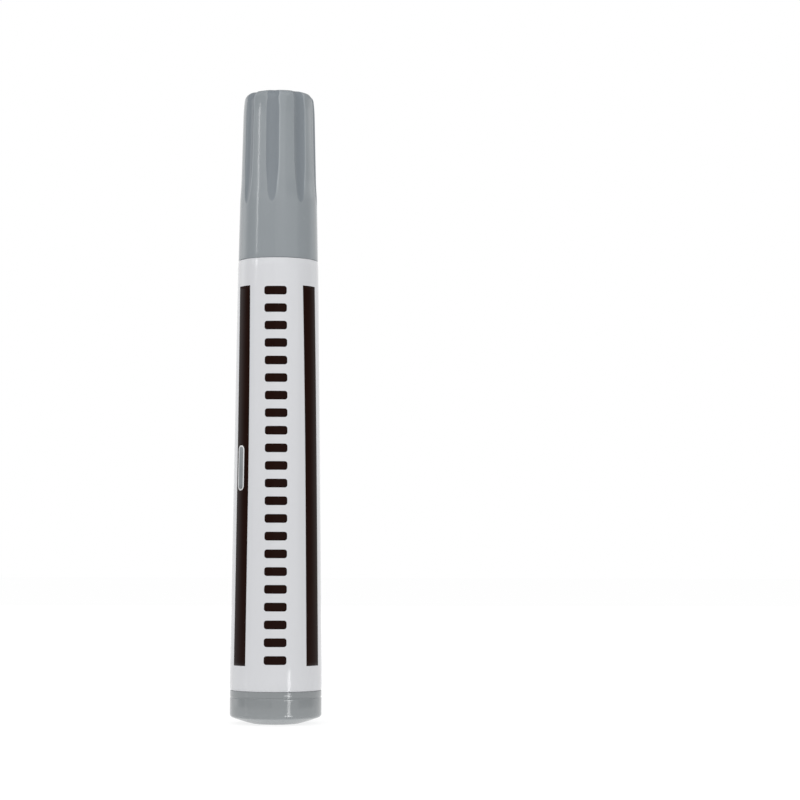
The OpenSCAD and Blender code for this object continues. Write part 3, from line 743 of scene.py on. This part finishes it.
def makePlug():
    q = plug
    # the groove between band and ring is a shallow hollow, and the ring stands back a little
    grooveZ = q["h"] - q["ringH"] - q["grooveHalf"]
    groove = bump(q["r"], -q["grooveIn"], q["grooveHalf"], grooveZ, 10)
    groove[:, 0] -= q["ringIn"] * np.clip((groove[:, 1] - grooveZ) / q["grooveHalf"] / 2 + 0.5, 0, 1)
    snap = bump(q["spigotR"], q["snapOut"], q["snapHalf"], q["snapZ"])
    # the bevel is an arc of radius bevelR that leaves the land at its slope and runs into the bottom round
    start = np.radians(q["bevelSlope"])
    bevelX, bevelZ = q["landR"] - q["bevelR"] * np.sin(start), q["bevelR"] * np.cos(start)
    roundX = q["r"] - q["round"]
    end = np.arcsin((roundX - bevelX) / (q["bevelR"] - q["round"]))
    roundZ = bevelZ - (q["bevelR"] - q["round"]) * np.cos(end)
    t = np.linspace(start, end, 22)
    bevel = np.stack([bevelX + q["bevelR"] * np.sin(t), bevelZ - q["bevelR"] * np.cos(t)], axis=-1)
    t = np.linspace(end, np.pi / 2, 9)[1:]
    corner = np.stack([roundX + q["round"] * np.sin(t), roundZ - q["round"] * np.cos(t)], axis=-1)
    land = np.stack([[0.0, q["landR"] / 2, q["landR"] - q["landEdge"]], np.zeros(3)], axis=-1)
    wall = rounded([groove[-1], [q["r"] - q["ringIn"], q["h"]], [q["spigotR"], q["h"]], snap[0]],
                   [0, 0.08, 0.06, 0], steps=6, guard=0.06)
    lower = np.concatenate([land, bevel, corner, groove[:-1], wall])
    upper = rounded(
        [snap[-1], [q["spigotR"], q["top"] - q["spigotLead"]], [q["spigotR"] - q["spigotLead"], q["top"]],
         [q["cupR"], q["top"]], [q["cupR"], q["floor"]], [0, q["floor"]]],
        [0, 0.1, 0.1, 0.1, 0.4, 0])
    profile = np.concatenate([lower, snap[1:-1], upper])
    piece = lathe("endPlug", profile, "plugPlastic", fullTurn(224))
    finishPiece(piece, "marker", "plug_plastic", "end_plug")
    # the crossed webs that carry the reservoir inside the cup
    thin, reach = q["webWidth"] / 2, q["cupR"] + q["webIntoWall"]
    for name, x, y in (("plugWebX", reach, thin), ("plugWebY", thin, reach)):
        points, faces = plate(0, 0, x, y, q["floor"] - q["webIntoFloor"], q["webTop"], q["webEdge"])
        finishPiece(putMesh(name, points, faces.tolist(), "plugPlastic"), "marker", "plug_plastic")


holder = {"flangeR": 5.85, "flangeZ": 97.0, "flangeTop": 98.2, "collarR": 4.6, "collarTop": 103.0,
          "nozzleTop": 109.0, "tipR": 3.3, "boreR": 2.32, "boreStart": 0.5, "spigotR": 5.08,
          "spigotIn": 4.13, "guideR": 3.22, "guideZ": 85.7, "spigotZ": 88.3, "vents": 3, "ventR": 0.35,
          "ventTurn": 0.0, "ventFade": 0.14, "webs": 4, "webWidth": 0.8, "webInto": 0.1}
nib = {"r": 2.3, "tipZ": 114.6, "nose": 4.4, "bottom": 79.0, "tail": 3.0, "tailR": 0.5, "fuzz": 0.016,
       "fuzzRise": 0.5, "fuzzFromAxis": 0.6, "seed": 7}


def makeHolder():
    # one profile: the nib's guide, the spigot in the neck, the flange, the collar and the nozzle
    q = holder
    profile = withRows(rounded(
        [[q["boreR"], q["guideZ"]], [q["guideR"], q["guideZ"]], [q["guideR"], q["flangeZ"]],
         [q["spigotIn"], q["flangeZ"]], [q["spigotIn"], q["spigotZ"]], [q["spigotR"], q["spigotZ"]],
         [q["spigotR"], q["flangeZ"]], [q["flangeR"], q["flangeZ"]], [q["flangeR"], q["flangeTop"]],
         [q["collarR"], q["flangeTop"]], [q["collarR"], q["collarTop"]], [q["tipR"], q["nozzleTop"]],
         [q["boreR"], q["nozzleTop"]], [q["boreR"], q["guideZ"] + q["boreStart"]]],
        [0, 0.1, 0.15, 0.15, 0.1, 0.25, 0.05, 0.1, 0.22, 0.15, 0.35, 0.3, 0.12, 0], steps=5), 2.0)

    def vents(radii, heights, angles):
        # each air channel is a half round of radius v cut outwards from the bore's wall
        across = q["boreR"] * np.sin(offCentre(angles, q["vents"], q["ventTurn"]))
        deeper = np.sqrt(np.clip(q["ventR"] ** 2 - across ** 2, 0, None))
        fade = np.clip((q["boreR"] + q["ventFade"] - radii) / q["ventFade"], 0, 1)
        return radii + deeper * fade, heights

    piece = lathe("nibHolder", profile, "holderPlastic", fullTurn(216), vents)
    finishPiece(piece, "marker", "holder_plastic", "nib_holder")
    # short webs join the nib's guide to the spigot round it
    middle = (q["guideR"] + q["spigotIn"]) / 2
    half, thin = (q["spigotIn"] - q["guideR"]) / 2 + q["webInto"], q["webWidth"] / 2
    webs = []
    for k in range(q["webs"]):
        outX, outY = round(np.cos(k * np.pi / 2)), round(np.sin(k * np.pi / 2))
        webs.append(plate(outX * middle, outY * middle, half if outX else thin, half if outY else thin,
                          q["spigotZ"], q["flangeZ"] + q["webInto"], 0.1))
    finishPiece(putMesh("holderWebs", *together(webs), "holderPlastic"), "marker", "holder_plastic")


def makeNib():
    # the felt's outline: a thin pointed tail, the straight shank, and a nose that is a quarter ellipse
    q = nib
    noseZ, columns = q["tipZ"] - q["nose"], 160
    t = np.linspace(0, np.pi / 2, 34)[1:]
    nose = np.stack([q["r"] * np.cos(t), noseZ + q["nose"] * np.sin(t)], axis=-1)
    shank = stretch(q["bottom"] + q["tail"], noseZ, 1.0)
    profile = np.concatenate([[[0, q["bottom"]], [q["tailR"], q["bottom"]]],
                              np.stack([np.full(len(shank), q["r"]), shank], axis=-1),
                              [[q["r"], noseZ]], nose])
    profile[-1, 0] = 0.0
    bristle = np.random.default_rng(q["seed"]).random((400, columns))

    def felt(radii, heights, angles):
        # fibre ends pull the felt in by up to the fuzz depth where it shows, in random spots
        past = np.clip((heights - holder["nozzleTop"]) / q["fuzzRise"], 0, 1)
        shows = past * np.clip(radii / q["fuzzFromAxis"], 0, 1)
        return radii - q["fuzz"] * shows * bristle[:len(radii)], heights

    piece = lathe("feltNib", profile, "nibFelt", fullTurn(columns), felt)
    finishPiece(piece, "marker", "nib_felt", "nib")


makePlug()
makeHolder()
makeNib()
for nodeName, look in (("reservoir_core", "coreFibre"), ("reservoir_film", "filmPlastic")):
    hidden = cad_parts[nodeName].data
    hidden.materials.clear()
    hidden.materials.append(looks[look])
print("plug, holder and nib made")

white = (1, 1, 1, 1)
floorLook = {"half": 3000.0, "z": -0.02, "grey": 0.28, "glow": 0.79, "shine": 0.88, "shineInPaintedShadow": 0.45,
             "paintedShadowR": 13.0, "tableGrey": 0.62, "tableSpread": 0.01, "tableGlow": 0.85, "tableR": 15.0,
             "tableCore": 0.5, "speckleScale": 30.0}


def makeFloor():
    # A pale floor: it glows for the eye, so that it runs into the white behind, and keeps a soft shadow.
    # Like a light table it also glows in a small spot under the marker
    q = floorLook
    material, tree, place = newMaterial("paleFloor")
    path = tree.add("ShaderNodeLightPath")
    shiny = path.part("Is Glossy Ray") + path.part("Is Transmission Ray")
    seen = path.part("Is Camera Ray") + shiny
    speckle = tree.noise(place, q["speckleScale"])
    pale = tree.blend(speckle, grey(q["tableGrey"] - q["tableSpread"]),
                      grey(q["tableGrey"] + q["tableSpread"]))
    table = tree.add("ShaderNodeBsdfDiffuse", None, {"Color": pale})
    far = tree.add("ShaderNodeVectorMath", {"operation": "LENGTH"}, {0: place}, out="Value")
    tableR = q["tableR"] * mm
    spot = tree.ramp(far, (tableR * q["tableCore"], tableR), q["tableGlow"], 0.0)
    under = tree.add("ShaderNodeEmission", None, {"Color": white, "Strength": spot})
    board = tree.add("ShaderNodeAddShader", None, {0: table, 1: under})
    dim = tree.add("ShaderNodeBsdfDiffuse", None, {"Color": grey(q["grey"])})
    # gloss sees the floor's glow dimmer near the marker's foot: a painted shadow under it, seen in
    # reflections
    shine = tree.ramp(far, (0.0, q["paintedShadowR"] * mm), q["shineInPaintedShadow"], q["shine"])
    glow = tree.add("ShaderNodeEmission", None, {
        "Color": white, "Strength": path.part("Is Camera Ray") * q["glow"] + shiny * shine})
    lit = tree.add("ShaderNodeAddShader", None, {0: dim, 1: glow})
    mix = tree.add("ShaderNodeMixShader", None, {0: seen, 1: board, 2: lit})
    tree.add("ShaderNodeOutputMaterial", None, {"Surface": mix})
    mesh = bpy.data.meshes.new("floor")
    half, z = q["half"] * mm, q["z"] * mm
    mesh.from_pydata([(-half, -half, z), (half, -half, z), (half, half, z), (-half, half, z)],
                     [], [(0, 1, 2, 3)])
    mesh.materials.append(material)
    floor = bpy.data.objects.new("floor", mesh)
    bpy.context.collection.objects.link(floor)


# The room's brightness by direction: each pair of ends is where a change along an axis begins and is whole
room = {"backdrop": 1.05, "around": 0.35, "tent": 0.86, "leftGlow": 0.5, "behind": (0.1, 0.5),
        "high": (0.22, 0.45), "left": (-0.6, -0.9), "overhead": (0.35, 0.85), "low": 1.06, "zenith": 0.7}


def makeWorld():
    # White behind the marker; gloss sees a dimmer room round its sides and front, and matt surfaces are lit
    # as in a light tent that is a little dimmer overhead. The eye always sees white
    q = room
    world = bpy.data.worlds.new("paleStudio")
    bpy.context.scene.world = world
    tree = Tree(world)
    path = tree.add("ShaderNodeLightPath")
    toward = tree.add("ShaderNodeTexCoord", out="Generated")
    way = tree.add("ShaderNodeSeparateXYZ", None, {0: toward}, out="X")
    behind = tree.ramp(way.part("Y"), q["behind"], 0.0, 1.0)
    high = tree.ramp(way.part("Z"), q["high"], 0.0, 1.0)
    aside = tree.ramp(way.part("X"), q["left"], 0.0, q["leftGlow"])
    overhead = tree.ramp(way.part("Z"), q["overhead"], q["low"], q["zenith"])
    around = q["around"] + (q["backdrop"] - q["around"] + aside) * behind * (1.0 - high)
    shiny = path.part("Is Glossy Ray") + path.part("Is Transmission Ray")
    tent = path.part("Is Diffuse Ray") * overhead * q["tent"]
    strength = path.part("Is Camera Ray") + shiny * around + tent
    sky = tree.add("ShaderNodeBackground", None, {"Color": white, "Strength": strength})
    tree.add("ShaderNodeOutputWorld", None, {"Surface": sky})


lights = {  # where each panel stands and what it looks at in mm, its size in mm, and its brightness
    "keyPanel": {"place": (-700, -730, 150), "aim": (0, 0, 60), "size": (1150, 400), "glow": 0.3},
    "fillPanel": {"place": (410, -920, 150), "aim": (0, 0, 60), "size": (1380, 400), "glow": 0.62},
    "nearPanel": {"place": (-60, -310, 420), "aim": (0, 0, 95), "size": (600, 600), "glow": 0.74},
    "backPanel": {"place": (0, 1000, 260), "aim": (0, 0, 60), "size": (1100, 500), "glow": 1.7},
    "leftCard": {"place": (-790, -400, 316), "aim": (0, 0, 316), "size": (680, 64), "glow": 0.85},
    "rightCard": {"place": (865, 248, 316), "aim": (0, 0, 316), "size": (560, 64), "glow": 0.55},
    "leftStrip": {"place": (-913, -407, 335), "aim": (0, 0, 335), "size": (70, 180), "glow": 6.0},
    "leftKicker": {"place": (-17.6, -9.0, 5), "aim": (-5.7, -6.7, 5), "size": (0.9, 10), "glow": 1.1},
    "rightKicker": {"place": (9.0, -18.4, 5), "aim": (2.5, -8.4, 5), "size": (2.0, 10), "glow": 5.4},
    "lipCard": {"place": (3.74, -10.52, 5.2), "aim": (2.41, -8.4, 5.2), "size": (2.6, 0.25), "glow": 5.0},
    "footCard": {"place": (3.74, -10.52, 1.25), "aim": (2.41, -8.4, 1.25), "size": (2.4, 0.7), "glow": 7.0},
}


def makeLights():
    # each one is a flat rectangle that shines towards its aim
    for name, q in lights.items():
        data = bpy.data.lights.new(name, "AREA")
        data.shape = "RECTANGLE"
        data.size, data.size_y = q["size"][0] * mm, q["size"][1] * mm
        # an area light's brightness as seen is its power divided by pi and by its area
        data.energy = q["glow"] * np.pi * data.size * data.size_y
        lamp = bpy.data.objects.new(name, data)
        bpy.context.collection.objects.link(lamp)
        place, aim = Vector(q["place"]) * mm, Vector(q["aim"]) * mm
        lamp.location = place
        lamp.rotation_mode = "QUATERNION"
        lamp.rotation_quaternion = (aim - place).to_track_quat("-Z", "Y")
        lamp.visible_camera = False
        lamp.visible_diffuse = "Panel" in name  # strips, kickers and cards only show in the gloss
        lamp.visible_glossy = name != "backPanel"


makeFloor()
makeWorld()
makeLights()
bpy.context.scene.view_settings.view_transform = "Standard"
print("studio made")
